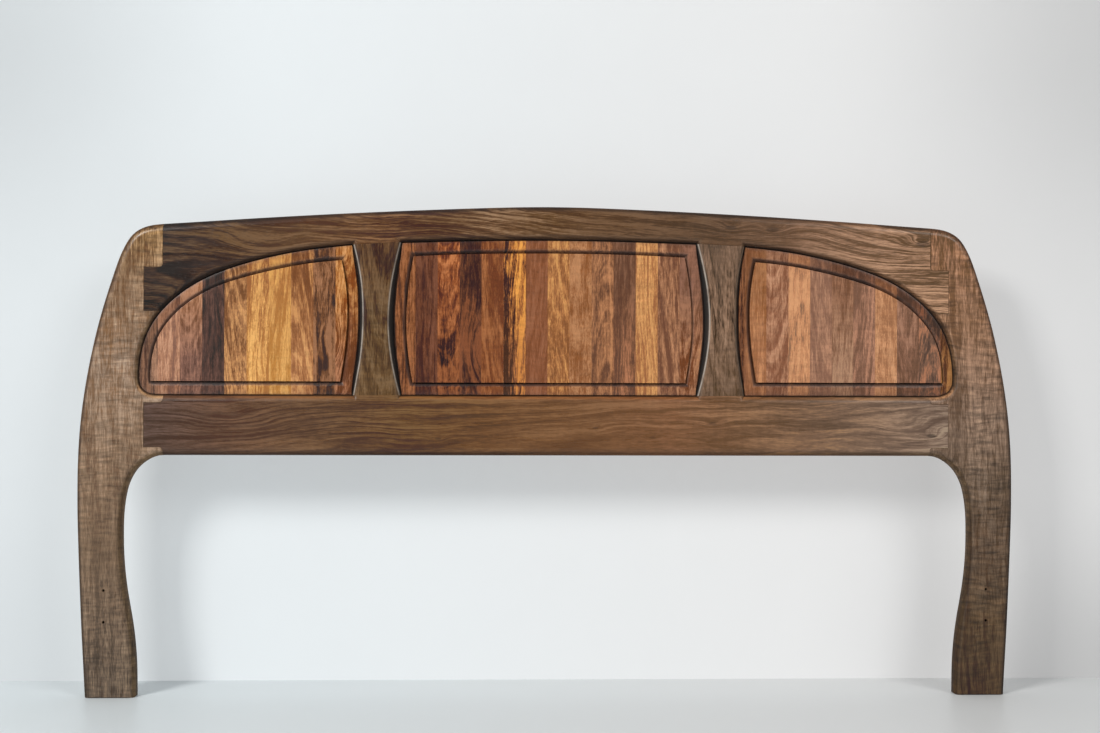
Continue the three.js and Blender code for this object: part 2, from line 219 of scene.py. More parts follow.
def ring_solid(name, rings):
    """rings: [(y, outline)], each with the same number of points, counter-clockwise in XZ, from the front to the back."""
    n = len(rings[0][1])
    verts, faces = [], []
    for y, p in rings:
        verts += [(x * MM, y * MM, z * MM) for x, z in p]
    for k in range(len(rings) - 1):
        a, b = k * n, (k + 1) * n
        for i in range(n):
            j = (i + 1) % n
            faces.append((a + i, b + i, b + j, a + j))
    faces.append(tuple(range(n)))
    faces.append(tuple(range(len(rings) * n - 1, (len(rings) - 1) * n - 1, -1)))
    ob = new_object(name, verts, faces)
    bm = bmesh.new()
    bm.from_mesh(ob.data)
    if bm.calc_volume(signed=True) < 0:
        bmesh.ops.reverse_faces(bm, faces=bm.faces)
    bm.to_mesh(ob.data)
    bm.free()
    return ob


def quarter(r, n=9):
    """(distance in from the face, distance out of true size) round a quarter circle, from the face to the side."""
    a = np.linspace(0, math.pi / 2, n)
    return [(r * (1 - math.cos(t)), r * (1 - math.sin(t))) for t in a]


def rounded_slab(name, outline, r, n=9):
    q = quarter(r, n)
    rings = [(-H + dy, grow(outline, -dx)) for dy, dx in q]
    rings += [(H - dy, grow(outline, -dx)) for dy, dx in reversed(q)]
    return ring_solid(name, rings)


def flat_slab(name, outline, y0, y1):
    return ring_solid(name, [(y0, outline), (y1, outline)])


def boolean(ob, cutter, operation, drop=True):
    m = ob.modifiers.new("cut", "BOOLEAN")
    m.operation = operation
    m.object = cutter
    m.solver = "MANIFOLD"
    dg = bpy.context.evaluated_depsgraph_get()
    dg.update()
    me = bpy.data.meshes.new_from_object(ob.evaluated_get(dg))
    if not len(me.polygons):
        m.solver = "EXACT"
        dg.update()
        me = bpy.data.meshes.new_from_object(ob.evaluated_get(dg))
    ob.modifiers.clear()
    old = ob.data
    ob.data = me
    bpy.data.meshes.remove(old)
    if drop:
        remove(cutter)
    return ob


def remove(ob):
    me = ob.data
    bpy.data.objects.remove(ob)
    if me.users == 0:
        bpy.data.meshes.remove(me)


def copy_of(ob, name):
    c = ob.copy()
    c.data = ob.data.copy()
    c.name = name
    bpy.context.scene.collection.objects.link(c)
    return c


def merged(name, obs):
    bm = bmesh.new()
    for o in obs:
        bm.from_mesh(o.data)
    me = bpy.data.meshes.new(name)
    bm.to_mesh(me)
    bm.free()
    for o in obs:
        remove(o)
    ob = bpy.data.objects.new(name, me)
    bpy.context.scene.collection.objects.link(ob)
    return ob


def box_object(name, lo, hi):
    x0, y0, z0 = (v * MM for v in lo)
    x1, y1, z1 = (v * MM for v in hi)
    v = [(x0, y0, z0), (x1, y0, z0), (x1, y1, z0), (x0, y1, z0), (x0, y0, z1), (x1, y0, z1), (x1, y1, z1), (x0, y1, z1)]
    f = [(0, 3, 2, 1), (4, 5, 6, 7), (0, 1, 5, 4), (1, 2, 6, 5), (2, 3, 7, 6), (3, 0, 4, 7)]
    return new_object(name, v, f)


def finish_mesh(ob, angle=31.0):
    """Cleans slivers, then shades it smooth except along its real edges, with large faces keeping their normals flat."""
    bm = bmesh.new()
    bm.from_mesh(ob.data)
    bmesh.ops.remove_doubles(bm, verts=bm.verts, dist=2e-6)
    bmesh.ops.dissolve_degenerate(bm, edges=bm.edges, dist=1e-6)
    bm.normal_update()
    limit = math.radians(angle)
    for f in bm.faces:
        f.smooth = True
    for e in bm.edges:
        e.smooth = not (len(e.link_faces) != 2 or e.calc_face_angle(0) > limit)
    bm.to_mesh(ob.data)
    bm.free()
    m = ob.modifiers.new("normals", "WEIGHTED_NORMAL")
    m.keep_sharp = True
    m.mode = "FACE_AREA"
    m.weight = 60
    dg = bpy.context.evaluated_depsgraph_get()
    dg.update()
    me = bpy.data.meshes.new_from_object(ob.evaluated_get(dg))
    ob.modifiers.clear()
    old = ob.data
    ob.data = me
    bpy.data.meshes.remove(old)
    return ob


# ------------------------------------------------------------------ frame
side, top, leg_in = curve(OUTER_SIDE), curve(TOP_EDGE), curve(LEG_INSIDE, sigma=6.0)
right_half = np.concatenate([side, top[1:]])
OUTLINE = join(right_half, mirror(right_half), mirror(leg_in), leg_in)
side_opening = join(curve(SIDE_ARCH), curve(SIDE_CORNER, sigma=3.0, tol=0.02), [(426.7, OPENING_BOTTOM)], curve(DIVIDER_OUTER))
center_half = np.concatenate([curve(DIVIDER_INNER), curve(CENTER_TOP)[1:]])
center_opening = join(center_half, mirror(center_half))
left_opening = join(mirror(side_opening))

frame_ob = rounded_slab("frame_blank", OUTLINE, OUTER_ROUND, 11)


def void(name, outline):
    q = quarter(OPENING_ROUND, 10)
    r = OPENING_ROUND
    rings = [(-34, grow(outline, r + 0.2)), (-H - 0.2, grow(outline, r + 0.2))]
    rings += [(-H + dy, grow(outline, dx)) for dy, dx in q]
    big = grow(outline, GROOVE_OUT)
    rings += [(TONGUE_Y[0] - 0.3, outline), (TONGUE_Y[0] - 0.3, big), (TONGUE_Y[1] + 0.3, big), (TONGUE_Y[1] + 0.3, outline)]
    rings += [(H - dy, grow(outline, dx)) for dy, dx in reversed(q)]
    rings += [(H + 0.2, grow(outline, r + 0.2)), (34, grow(outline, r + 0.2))]
    return ring_solid(name, rings)


cutters = [void("void_left", left_opening), void("void_center", center_opening), void("void_right", side_opening)]

boolean(frame_ob, merged("voids", cutters), "DIFFERENCE")
boolean(frame_ob, box_object("floor_cut", (-1200, -60, -200), (1200, 60, 0)), "DIFFERENCE")


def foot_cutter(name, s, x_edge, inward):
    """Removes the square corner of a foot outside a small quarter circle; inward is the direction into the foot."""
    r = 4.0
    c = x_edge + inward * r
    pts = [(c, -3.0), (x_edge - inward * 3, -3.0), (x_edge - inward * 3, r)]
    for t in np.linspace(0, math.pi / 2, 7):
        pts.append((c - inward * r * math.cos(t), r - r * math.sin(t)))
    return flat_slab(name, join(pts), -40, 40)


feet = []
for s in (-1, 1):
    feet.append(foot_cutter("foot_out", s, s * 999.3, -s))
    feet.append(foot_cutter("foot_in", s, s * 888.9, s))
boolean(frame_ob, merged("foot_edges", feet), "DIFFERENCE")
for s in (-1, 1):
    r = 3.5
    pts = [(s * (H - r), -3.0), (s * (H + 3), -3.0), (s * (H + 3), r)]
    for t in np.linspace(0, math.pi / 2, 7):
        pts.append((s * (H - r + r * math.cos(t)), r - r * math.sin(t)))
    p = join(pts)
    n = len(p)
    verts = [(x, a * MM, b * MM) for x in (-1.1, 1.1) for a, b in p]
    faces = [(i, (i + 1) % n, n + (i + 1) % n, n + i) for i in range(n)] + [tuple(range(n - 1, -1, -1)), tuple(range(n, 2 * n))]
    c = new_object("foot_face", verts, faces)
    bm = bmesh.new()
    bm.from_mesh(c.data)
    if bm.calc_volume(signed=True) < 0:
        bmesh.ops.reverse_faces(bm, faces=bm.faces)
    bm.to_mesh(c.data)
    bm.free()
    boolean(frame_ob, c, "DIFFERENCE")

# pilot holes, each with a slightly worn mouth
holes = []
for s in (-1, 1):
    for z in HOLE_Z:
        t = np.linspace(0, 2 * math.pi, 29)[:-1]
        ring = lambda r: np.stack([s * HOLE_X + r * np.cos(t), z + r * np.sin(t)], 1)
        holes.append(ring_solid("hole", [(-H - 3, ring(HOLE_R + 1.1)), (-H, ring(HOLE_R + 0.9)), (-H + 0.5, ring(HOLE_R + 0.25)),
                                         (-H + 1.2, ring(HOLE_R)), (-H + HOLE_DEPTH - 2, ring(HOLE_R)), (-H + HOLE_DEPTH, ring(0.4))]))
boolean(frame_ob, merged("holes", holes), "DIFFERENCE")

# mortises: the CAD tenons, a little larger
mortises = []
for name, node in sorted(frame["nodes"].items()):
    if not name.endswith("_tenon"):
        continue
    lo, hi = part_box(name)
    mid = (lo + hi) / 2
    c = node.copy()
    c.data = node.data.copy()
    c.parent = None
    c.name = "mortise"
    for key in list(c.keys()):
        del c[key]
    bpy.context.scene.collection.objects.link(c)
    scale = [(hi[i] - lo[i] + 0.0006) / (hi[i] - lo[i]) for i in range(3)]
    for v in c.data.vertices:
        v.co = Vector([mid[i] + (v.co[i] - mid[i]) * scale[i] for i in range(3)])
    bm = bmesh.new()
    bm.from_mesh(c.data)
    bmesh.ops.remove_doubles(bm, verts=bm.verts, dist=1e-5)
    if bm.calc_volume(signed=True) < 0:
        bmesh.ops.reverse_faces(bm, faces=bm.faces)
    bm.to_mesh(c.data)
    bm.free()
    mortises.append(c)
boolean(frame_ob, merged("mortises", mortises), "DIFFERENCE")


def bend(cx, cz, r, a0, a1, steps=8):
    return [(cx + r * math.cos(math.radians(a)), cz + r * math.sin(math.radians(a))) for a in np.linspace(a0, a1, steps + 1)]


TR = TAB_ROUND
top_line = [(TOP_TAB_X, 1120), *bend(TOP_TAB_X + TR, TOP_TAB_Z + TR, TR, 180, 270), (RAIL_END_X, TOP_TAB_Z),
            (RAIL_END_X, TOP_RAIL_END_Z), (790, TOP_RAIL_END_Z)]
low_line = [(LOW_TAB_X, 700), *bend(LOW_TAB_X + TR, LOW_TONGUE_Z[1] + TR, TR, 180, 270), (RAIL_END_X, LOW_TONGUE_Z[1]),
            (RAIL_END_X, LOW_TONGUE_Z[0]), *bend(LOW_TAB_X + TR, LOW_TONGUE_Z[0] - TR, TR, 90, 180), (LOW_TAB_X, 470)]
butt_top = [(434, 968), (426.6, 977.2), (319.4, 982.6), (311, 974)]
butt_low = [(434, 661), (426.7, OPENING_BOTTOM), (319.8, OPENING_BOTTOM), (311, 661)]


def flip(run):
    return [(-x, z) for x, z in reversed(run)]


post_region = join(top_line, [(790, 720)], low_line, [(800, -100), (1100, -100), (1100, 1120)])
top_region = join(top_line, [(700, 850), (500, 920)], butt_top, flip(butt_top), [(-500, 920), (-700, 850)], flip(top_line))
low_region = join(low_line, flip(low_line), [(-434, 690)], [(-x, z) for x, z in butt_low], list(reversed(butt_low)), [(434, 690)])
divider_region = join(butt_top, list(reversed(butt_low)))
REGIONS = {
    "right_post": (post_region, 1.5), "left_post": (join(mirror(post_region)), 1.5),
    "top_rail": (top_region, 0.5), "bottom_rail": (low_region, 0.5),
    "right_divider": (divider_region, 0.4), "left_divider": (join(mirror(divider_region)), 0.4)}


def region_prism(outline, r):
    q = quarter(r, 5)
    base = grow(outline, -SLIT)
    rings = [(-34, grow(base, -r)), (-H - 0.02, grow(base, -r))]
    rings += [(-H + dy, grow(base, -dx)) for dy, dx in q[1:]]
    rings += [(H - dy, grow(base, -dx)) for dy, dx in reversed(q[1:])]
    rings += [(H + 0.02, grow(base, -r)), (34, grow(base, -r))]
    return ring_solid("region", rings)


pieces = {}
for node, (outline, r) in REGIONS.items():
    ob = copy_of(frame_ob, node + "_wood")
    boolean(ob, region_prism(outline, r), "INTERSECT")
    finish_mesh(ob)
    pieces[node] = ob
remove(frame_ob)


# ------------------------------------------------------------------ panels
def matched(segments):
    """segments: [(outer run, inner run, n)]. Both are resampled to the same number of points."""
    outer, inner = [], []
    for a, b, n in segments:
        outer.append(resample(np.array(a, float), n + 1)[:-1])
        inner.append(resample(np.array(b, float), n + 1)[:-1])
    return np.concatenate(outer), np.concatenate(inner)


def panel_solid(name, outer, inner):
    if area(outer) < 0:
        outer, inner = outer[::-1].copy(), inner[::-1].copy()
    # the ledge stops short of the frame, most beside the dividers, and leaves a dark gap
    beside = np.exp(-((np.abs(outer[:, 0]) - 372) / 62) ** 4)
    beside *= np.clip((outer[:, 1] - OPENING_BOTTOM) / 12, 0, 1) * np.clip((975 - outer[:, 1]) / 12, 0, 1)
    beside *= np.clip(1.15 - ((outer[:, 1] - 815) / 170) ** 2, 0, 1)
    back = -1.3 - {"left": 6.2, "center": 4.2, "right": 2.2}[name.split("_")[0]] * beside
    rings = []
    for d, y in ((-0.5, 0.0), (-0.25, 0.05), (-0.08, 0.2), (0.0, 0.5)):
        rings.append((FIELD_Y + y, grow(inner, d)))
    rings.append((LEDGE_IN_Y - 0.9, inner))
    rings.append((LEDGE_IN_Y - 0.25, inner + (outer - inner) * 0.008))
    for t in (0.03, 0.06, 0.09, 0.12, 0.15, 0.18, 0.21, 0.245, 0.28, 0.32, 0.37, 0.43, 0.5, 0.6, 0.72, 0.86, 1.0):
        # a soft roll out of the groove, then a low bead that drops a little beside the frame
        k = min(1.0, max(0.0, (t - 0.01) / 0.44))
        y = LEDGE_IN_Y + (LEDGE_OUT_Y - LEDGE_IN_Y) * math.sin(k * math.pi / 2) ** 0.9
        if t > 0.45:
            y += 0.6 * (1 - math.cos((t - 0.45) / 0.55 * math.pi / 2))
        rings.append((y, inner + (outer - inner) * t))
    rings[-1] = (LEDGE_OUT_Y + 0.9, grow(outer, back))
    rings += [(LEDGE_OUT_Y + 1.9, grow(outer, back + 0.45)), (LEDGE_OUT_Y + 2.8, grow(outer, back + 0.6)), (-8.0, grow(outer, back + 0.6)), (-7.6, grow(outer, -0.2)),
              (TONGUE_Y[0], grow(outer, -0.2)), (TONGUE_Y[0], grow(outer, TONGUE_OUT)), (TONGUE_Y[1], grow(outer, TONGUE_OUT)),
              (TONGUE_Y[1], grow(outer, -0.2)), (8.6, grow(outer, -0.2)), (9.6, grow(outer, -0.5)), (PANEL_BACK_Y, grow(outer, -1.3))]
    return ring_solid(name, rings)


corner = spline(SIDE_CORNER)
half = len(corner) // 2
arch = np.concatenate([fair(spline(SIDE_ARCH)), corner[1:half + 1]])
bottom = np.concatenate([corner[half:], [(426.7, OPENING_BOTTOM)]])
side_outer, side_inner = matched([
    (arch, fair(spline(SIDE_FIELD_ARCH)), 200),
    (bottom, [(860.0, SIDE_FIELD_BOTTOM), (452.3, SIDE_FIELD_BOTTOM)], 90),
    (fair(spline(DIVIDER_OUTER)), fair(spline(SIDE_FIELD_INNER)), 60)])
ct = fair(spline(CENTER_TOP))
cft = fair(spline(CENTER_FIELD_TOP))
cs = fair(spline(DIVIDER_INNER))
cfs = fair(spline(CENTER_FIELD_SIDE))
center_outer, center_inner = matched([
    (cs, cfs, 60),
    (np.concatenate([ct, mirror(ct)[1:]]), np.concatenate([cft, mirror(cft)[1:]]), 80),
    (mirror(cs), mirror(cfs), 60),
    ([(-319.8, OPENING_BOTTOM), (319.8, OPENING_BOTTOM)], [(-296.0, CENTER_FIELD_BOTTOM), (296.0, CENTER_FIELD_BOTTOM)], 60)])

panels = {
    "right_panel": panel_solid("right_panel_blank", side_outer, side_inner),
    "left_panel": panel_solid("left_panel_blank", mirror(side_outer), mirror(side_inner)),
    "center_panel": panel_solid("center_panel_blank", center_outer, center_inner)}
for key, blank in panels.items():
    names = sorted(n for n in frame["nodes"] if n.startswith(key + "_stave_"))
    for n in names:
        lo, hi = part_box(n)
        # the CAD boards stand 0.15 mm back from their glue lines
        x0, x1 = lo[0] / MM - 0.15 + 0.02, hi[0] / MM + 0.15 - 0.02
        if n == names[0]:
            x0 -= 4
        if n == names[-1]:
            x1 += 4
        ob = copy_of(blank, n.replace("_stave_", "_board_"))
        boolean(ob, box_object("rip", (x0, -40, 500), (x1, 40, 1100)), "INTERSECT")
        finish_mesh(ob)
        pieces[n] = ob
    remove(blank)


# ------------------------------------------------------------------ materials
def lin(h):
    """An sRGB hex colour as linear RGBA."""
    out = []
    for i in (0, 2, 4):
        c = int(h[i:i + 2], 16) / 255
        out.append(c / 12.92 if c <= 0.04045 else ((c + 0.055) / 1.055) ** 2.4)
    return (*out, 1.0)


def colour(c):
    return lin(c) if isinstance(c, str) else c


class Nodes:
    def __init__(self, mat):
        self.t = mat.node_tree
        self.t.nodes.clear()

    def link(self, value, socket):
        if isinstance(value, bpy.types.NodeSocket):
            self.t.links.new(value, socket)
        elif value is not None:
            socket.default_value = value

    def math(self, op, a, b=None, c=None, clamp=False):
        n = self.t.nodes.new("ShaderNodeMath")
        n.operation = op
        n.use_clamp = clamp
        for v, s in zip((a, b, c), n.inputs):
            self.link(v, s)
        return n.outputs[0]

    def add(self, a, b): return self.math("ADD", a, b)
    def sub(self, a, b): return self.math("SUBTRACT", a, b)
    def mul(self, a, b): return self.math("MULTIPLY", a, b)

    def vec(self, x, y, z):
        n = self.t.nodes.new("ShaderNodeCombineXYZ")
        for v, s in zip((x, y, z), n.inputs):
            self.link(v, s)
        return n.outputs[0]

    def split(self, v):
        n = self.t.nodes.new("ShaderNodeSeparateXYZ")
        self.link(v, n.inputs[0])
        return n.outputs

    def noise(self, vector, scale=1.0, detail=2.0, rough=0.5, distort=0.0, dims="3D", lac=2.0):
        n = self.t.nodes.new("ShaderNodeTexNoise")
        n.noise_dimensions = dims
        self.link(vector, n.inputs["Vector"] if dims != "1D" else n.inputs["W"])
        n.inputs["Scale"].default_value = scale
        n.inputs["Detail"].default_value = detail
        n.inputs["Roughness"].default_value = rough
        n.inputs["Lacunarity"].default_value = lac
        n.inputs["Distortion"].default_value = distort
        return n.outputs[0]

    def step(self, v, lo, hi, a=0.0, b=1.0, smooth=True):
        n = self.t.nodes.new("ShaderNodeMapRange")
        n.interpolation_type = "SMOOTHSTEP" if smooth else "LINEAR"
        n.clamp = True
        self.link(v, n.inputs[0])
        for s, x in zip(n.inputs[1:5], (lo, hi, a, b)):
            self.link(x, s)
        return n.outputs[0]

    def ramp(self, v, stops):
        n = self.t.nodes.new("ShaderNodeValToRGB")
        e = n.color_ramp.elements
        while len(e) > 1:
            e.remove(e[-1])
        e[0].position, e[0].color = stops[0][0], colour(stops[0][1])
        for p, c in stops[1:]:
            x = e.new(p)
            x.color = colour(c)
        self.link(v, n.inputs[0])
        return n.outputs[0]

    def mix(self, f, a, b, mode="MIX"):
        n = self.t.nodes.new("ShaderNodeMix")
        n.data_type = "RGBA"
        n.blend_type = mode
        n.clamp_factor = True
        self.link(f, n.inputs[0])
        self.link(a, n.inputs[6])
        self.link(b, n.inputs[7])
        return n.outputs[2]


SHEEN = (0.013, 0.014, 0.016)  # light a polished surface adds to its own colour, taken back out of the tones below


def tone(h):
    c = lin(h)
    return [max(v - k, v * 0.45) for v, k in zip(c[:3], SHEEN)]


def stops_of(x):
    return [(0.0, x)] if isinstance(x, str) else x


def spread(ends, mids, amount):
    """The end tones pushed further from the middle ones, as only the rarest fibres reach them."""
    out = []
    mids = stops_of(mids)
    for p, h in stops_of(ends):
        m = [np.interp(p, [q for q, _ in mids], [tone(x)[i] for _, x in mids]) for i in range(3)]
        e = tone(h)
        out.append((p, (*[max(0.25 * e[i], m[i] + amount * (e[i] - m[i])) for i in range(3)], 1.0)))
    return out


def wood(name, slot, grain, extent, dark, mid, light, seed=0.0,
         pith=(0.0, 0.05), pith_drift=0.0, pith_tilt=0.0, ring=0.006, ring_dark=0.25, wander=0.012,
         streak=1.0, streak_freq=14.0, bias=0.0, fine=1.0, fibre=1.0, pores=0.5, curl=0.0, curl_size=0.008, fleck=0.0, mottle=0.0, mottle_size=0.03,
         knots=(), rough=(0.25, 0.38), bump=0.35, bands=(), patch=(), edge=0.0, groove=0.0, ledge=0.0, arris=None):
    """A solid-timber material in the row frame. grain is the fibre's axis, X or Z; extent its start and end, and the board's own middle across the
    grain, in metres. dark, mid and light are colours, or [(0..1, colour), ...] along the board. The growth rings are cylinders about the pith,
    (across, depth) from the middle, that wander and drift along the board, so that its faces, edges and ends agree."""
    mat = bpy.data.materials.new(name)
    mat.use_nodes = True
    N = Nodes(mat)
    tc = N.t.nodes.new("ShaderNodeTexCoord")
    X, Y, Z = N.split(tc.outputs["Object"])
    g, a = (X, Z) if grain == "X" else (Z, X)
    g0, g1, a_mid = extent
    u = N.step(g, g0, g1, 0.0, 1.0, smooth=False)
    gs = N.add(g, seed * 1.37)
    ac = N.sub(a, a_mid)
    centre = (g0 + g1) / 2
    # slow wander of the grain
    slow = N.noise(N.vec(N.mul(gs, 2.2), N.mul(a, 5.0), N.add(Y, seed)), 1.0, 2.0, 0.5)
    mid_w = N.noise(N.vec(N.mul(gs, 8.0), N.mul(a, 26.0), N.mul(Y, 26.0)), 1.0, 2.0, 0.5)
    warp = N.add(N.mul(N.sub(slow, 0.5), wander * 4.0), N.mul(N.sub(mid_w, 0.5), wander * 1.1))
    # each knot pushes the rings aside
    knot_dark = knot_near = None
    for kg, ka, size, push, core_amount in knots:
        dg = N.mul(N.sub(g, kg), 1.0 / (size * 2.4))
        da = N.mul(N.sub(a, ka), 1.0 / size)
        e = N.math("EXPONENT", N.mul(N.add(N.mul(dg, dg), N.mul(da, da)), -1.0))
        warp = N.add(warp, N.mul(e, push))
        knot_near = e if knot_near is None else N.math("MAXIMUM", knot_near, e)
        if core_amount:
            core = N.mul(N.step(e, 0.80, 0.97), core_amount)
            knot_dark = core if knot_dark is None else N.math("MAXIMUM", knot_dark, core)
    pa = N.add(N.add(ac, warp), N.add(-pith[0], N.mul(N.sub(g, centre), pith_drift)))
    pb = N.add(N.sub(Y, pith[1]), N.mul(N.sub(g, centre), pith_tilt))
    r = N.math("SQRT", N.add(N.mul(pa, pa), N.mul(pb, pb)))
    phase = N.mul(r, 1.0 / ring)
    uneven = N.noise(N.mul(phase, 0.45), 1.0, 1.0, 0.5, dims="1D")
    phase = N.add(phase, N.mul(uneven, 2.6))
    saw = N.math("FRACT", phase)
    late = N.mul(N.step(saw, 0.35, 0.93), N.step(saw, 0.94, 1.0, 1.0, 0.0))
    strength = N.step(uneven, 0.35, 0.65, 0.25, 1.0)
    if knot_near is not None:
        strength = N.add(strength, N.mul(knot_near, 1.6))
    late = N.mul(late, strength)
    # streaks of heartwood colour follow the rings at three widths, and come and go along the board
    s1 = N.noise(N.vec(N.mul(gs, 0.55), N.add(N.mul(r, streak_freq), seed * 3.1), N.mul(Y, 2.0)), 1.6, 3.0, 0.6)
    s2 = N.noise(N.vec(N.mul(gs, 2.4), N.add(N.mul(r, streak_freq * 9), seed * 5.3), N.mul(Y, 9.0)), 1.0, 3.0, 0.62)
    s3 = N.noise(N.vec(N.mul(gs, 7.0), N.add(N.mul(r, 330.0), seed * 7.9), N.mul(Y, 60.0)), 1.0, 3.0, 0.65)
    s = N.add(0.5 + bias, N.mul(N.sub(s1, 0.5), 2.2 * streak))
    s = N.add(s, N.add(N.mul(N.sub(s2, 0.5), 2.0 * fine), N.mul(N.sub(s3, 0.5), 1.7 * fine)))
    for ba, bw, amount in bands:  # a band that runs the whole length: where, how wide, lighter or darker
        d = N.mul(N.sub(N.add(ac, warp), ba), 1.0 / bw)
        s = N.add(s, N.mul(N.math("EXPONENT", N.mul(N.mul(d, d), -1.0)), amount))
    for pg, pa_, wg, wa, amount in patch:  # a local patch: centre, size, lighter or darker
        dg = N.mul(N.sub(g, pg), 1.0 / wg)
        da = N.mul(N.sub(N.add(a, N.mul(warp, 0.6)), pa_), 1.0 / wa)
        e = N.math("EXPONENT", N.mul(N.add(N.mul(dg, dg), N.mul(da, da)), -1.0))
        s = N.add(s, N.mul(e, amount))
    if mottle:
        mo = N.noise(N.vec(N.mul(gs, 0.40 / mottle_size), N.mul(a, 1.0 / mottle_size), N.mul(Y, 1.0 / mottle_size)), 1.0, 4.0, 0.62, 0.7)
        s = N.add(s, N.mul(N.sub(mo, 0.5), mottle * 2.0))
    # fibres: long fine streaks, and short flecks
    f1 = N.noise(N.vec(N.mul(gs, 14.0), N.mul(N.add(a, N.mul(warp, 0.8)), 140.0), N.mul(Y, 140.0)), 1.0, 3.0, 0.65)
    f2 = N.noise(N.vec(N.mul(gs, 48.0), N.mul(a, 360.0), N.mul(Y, 360.0)), 1.0, 3.0, 0.65)
    s = N.add(s, N.add(N.mul(N.sub(f1, 0.5), 1.5 * fibre), N.mul(N.sub(f2, 0.5), 1.6 * fibre)))
    if fleck:  # small crinkled figure
        fl = N.noise(N.vec(N.mul(gs, 95.0), N.mul(a, 210.0), N.mul(Y, 200.0)), 1.0, 3.0, 0.65, 1.5)
        s = N.add(s, N.mul(N.sub(fl, 0.5), 2.2 * fleck))
    s = N.sub(s, N.mul(late, ring_dark))
    s = N.math("ADD", s, 0.0, clamp=True)
    cd, cm, cl = (N.ramp(u, x) for x in (spread(dark, mid, 1.3), [(p, (*tone(h), 1.0)) for p, h in stops_of(mid)], spread(light, mid, 1.3)))
    lo = N.step(s, 0.0, 0.5, 0.0, 1.0, smooth=False)
    hi = N.step(s, 0.5, 1.0, 0.0, 1.0, smooth=False)
    col = N.mix(hi, N.mix(lo, cd, cm), cl)
    # open pores: short dark dashes along the grain
    pm = None
    if pores:
        pv = N.noise(N.vec(N.mul(gs, 85.0), N.mul(a, 1000.0), N.mul(Y, 1000.0)), 1.0, 1.0, 0.5)
        pm = N.mul(N.step(pv, 0.58, 0.70), pores)
        col = N.mix(N.mul(pm, 0.7), col, N.mix(0.7, col, (0.012, 0.007, 0.004, 1.0)))
    # curl: ripples across the grain that catch the light
    bright = None
    if curl:
        cw = N.noise(N.vec(N.mul(gs, 6.0), N.mul(a, 10.0), N.mul(Y, 10.0)), 1.0, 1.0, 0.5)
        cv = N.noise(N.vec(N.add(N.mul(gs, 1.0 / curl_size), N.mul(cw, 3.0)), N.mul(a, 24.0), N.mul(Y, 30.0)), 1.0, 2.0, 0.55)
        mask = N.step(N.noise(N.vec(N.mul(gs, 3.1), N.mul(a, 9.0), N.add(Y, seed + 4.0)), 1.0, 1.0, 0.5), 0.3, 0.62, 0.35, 1.0)
        bright = N.mul(N.mul(N.sub(cv, 0.5), 2.0 * curl), mask)
        k = N.add(1.0, bright)
        col = N.mix(1.0, col, N.vec(k, k, k), "MULTIPLY")
    if knot_dark is not None:
        col = N.mix(N.mul(knot_dark, 0.85), col, lin("17100b"))
    edge_shade_and_rough = None
    if edge:  # the rounded edges are painted darker and browner, painted shade where they turn away from the light, and are made rougher; those that face up into the openings are painted lighter and more golden, painted light where the lamps fall on them
        # openings stay light, where the hand wipes them
        geo = N.t.nodes.new("ShaderNodeNewGeometry")
        nx, ny, nz = N.split(geo.outputs["Normal"])
        edge_shade_and_rough = N.mul(N.step(N.math("ABSOLUTE", ny), 0.995, 0.72), edge)
        lit = N.mul(N.mul(N.step(nz, 0.15, 0.4), N.step(Z, 0.76, 0.70)), N.step(Z, 0.60, 0.62))
        shade = N.mix(lit, (0.60, 0.55, 0.42, 1.0), (1.35, 1.12, 0.80, 1.0))
        # painted shade: the outer edges where they face out sideways, and the top edge where it faces up, are painted
        # darker still
        outward = N.math("SIGN", X)
        outward = N.mul(N.step(N.mul(nx, outward), 0.10, 0.45), N.step(N.math("ABSOLUTE", X), 0.60, 0.64))
        upper = N.mul(N.step(nz, 0.25, 0.6), N.step(Z, 0.985, 0.995))
        # painted shade: the edges that face down under the arches are painted darker still
        under = N.mul(N.mul(N.step(nz, -0.10, -0.45), N.step(Z, 0.76, 0.84)), N.step(N.math("ABSOLUTE", X), 0.890, 0.886))
        shade = N.mix(N.mul(N.math("MAXIMUM", outward, upper), 0.9), shade, (0.33, 0.27, 0.20, 1.0))
        shade = N.mix(N.mul(under, 0.85), shade, (0.34, 0.28, 0.21, 1.0))
        col = N.mix(edge_shade_and_rough, col, N.mix(1.0, col, shade, "MULTIPLY"))
        # painted shade: the deep part of the rounded edges round each opening, beside the panels, is painted nearly
        # black, as the shade in that recess
        inside = N.mul(N.mul(N.step(Z, 0.640, 0.650), N.step(Z, 0.998, 0.993)), N.step(N.math("ABSOLUTE", X), 0.892, 0.887))
        foot = N.mul(N.mul(N.step(Y, -0.0168, -0.0128), N.step(Y, -0.0055, -0.0065)), inside)
        col = N.mix(N.mul(foot, 0.85), col, N.mix(1.0, col, (0.16, 0.14, 0.13, 1.0), "MULTIPLY"))
    if arris:  # the dividers' edges: a painted highlight line that swings in from each end towards the waist, and painted shade, nearly black, outside it
        geo = N.t.nodes.new("ShaderNodeNewGeometry")
        nx = N.split(geo.outputs["Normal"])[0]
